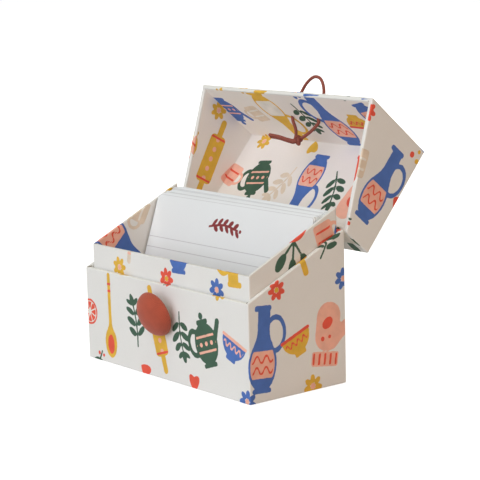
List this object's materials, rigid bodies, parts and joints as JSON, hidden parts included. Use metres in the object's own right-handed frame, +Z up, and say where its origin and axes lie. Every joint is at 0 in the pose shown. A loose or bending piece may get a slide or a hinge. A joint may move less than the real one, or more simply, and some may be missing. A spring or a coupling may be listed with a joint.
{
  "type": "card box",
  "caption": "Free-standing box for index cards: slanted case, taller inner tray, hinged lid and a button-and-cord closure.",
  "frame": {"origin": "centre of the case's underside, on the surface it stands on", "axes": "+Z up, the button's side faces -Y, the hinge is at the back along X"},
  "size_m": [0.166, 0.1566, 0.1795],
  "materials": {
    "greyboard": "matt greyboard",
    "printed_paper": "matt off-white paper with a printed pattern",
    "plain_paper": "matt",
    "hinge_paper": "matt off-white paper",
    "card": "matt white card",
    "cord": "fine braid",
    "thread": "twisted thread",
    "button_cloth": "matt cloth",
    "button_wood": "bare",
    "button_plastic": "matt",
    "washer": "matt"
  },
  "bodies": {
    "case": {"base_bottom_board": "greyboard", "base_front_board": "greyboard", "base_back_board": "greyboard", "base_left_board": "greyboard", "base_right_board": "greyboard", "base_cover_paper": "printed_paper", "base_underside_paper": "plain_paper", "tray_front_board": "greyboard", "tray_back_board": "greyboard", "tray_left_board": "greyboard", "tray_right_board": "greyboard", "tray_floor_board": "greyboard", "tray_cover_paper": "printed_paper", "hinge_strip_base": "hinge_paper", "button_thread": "thread", "button_washer": "washer", "index_cards": "card"},
    "lid": {"lid_top_board": "greyboard", "lid_front_board": "greyboard", "lid_back_board": "greyboard", "lid_left_board": "greyboard", "lid_right_board": "greyboard", "lid_cover_paper": "printed_paper", "lid_lining_paper": "printed_paper", "hinge_strip_lid": "hinge_paper", "cord_strand_left": "cord", "cord_strand_right": "cord", "cord_knot": "cord", "cord_tail_upper": "cord", "cord_tail_lower": "cord"},
    "loop": {"cord_loop": "cord"},
    "button": {"button_cover": "button_cloth", "button_mould": "button_wood", "button_back_plate": "button_plastic"},
    "front_card": {"heading_card": "card"}
  },
  "joints": [
    {"name": "lid_hinge", "type": "hinge", "parent": "case", "child": "lid", "pos_m": [0, 0.0378, 0.0926], "axis": [-1, 0, 0], "range_deg": [-130.5, 44.5]},
    {"name": "loop_swing", "type": "hinge", "parent": "lid", "child": "loop", "pos_m": [0, 0.08233, 0.1549], "axis": [1, 0, 0], "range_deg": [-108, 58]},
    {"name": "button_tilt", "type": "hinge", "parent": "case", "child": "button", "pos_m": [0, -0.0393, 0.0438], "axis": [1, 0, 0], "range_deg": [-33, 0]},
    {"name": "front_card_tip", "type": "hinge", "parent": "case", "child": "front_card", "pos_m": [0, -0.01359, 0.00575], "axis": [0.9999, 0.014, 0], "range_deg": [0, 18]}
  ]
}
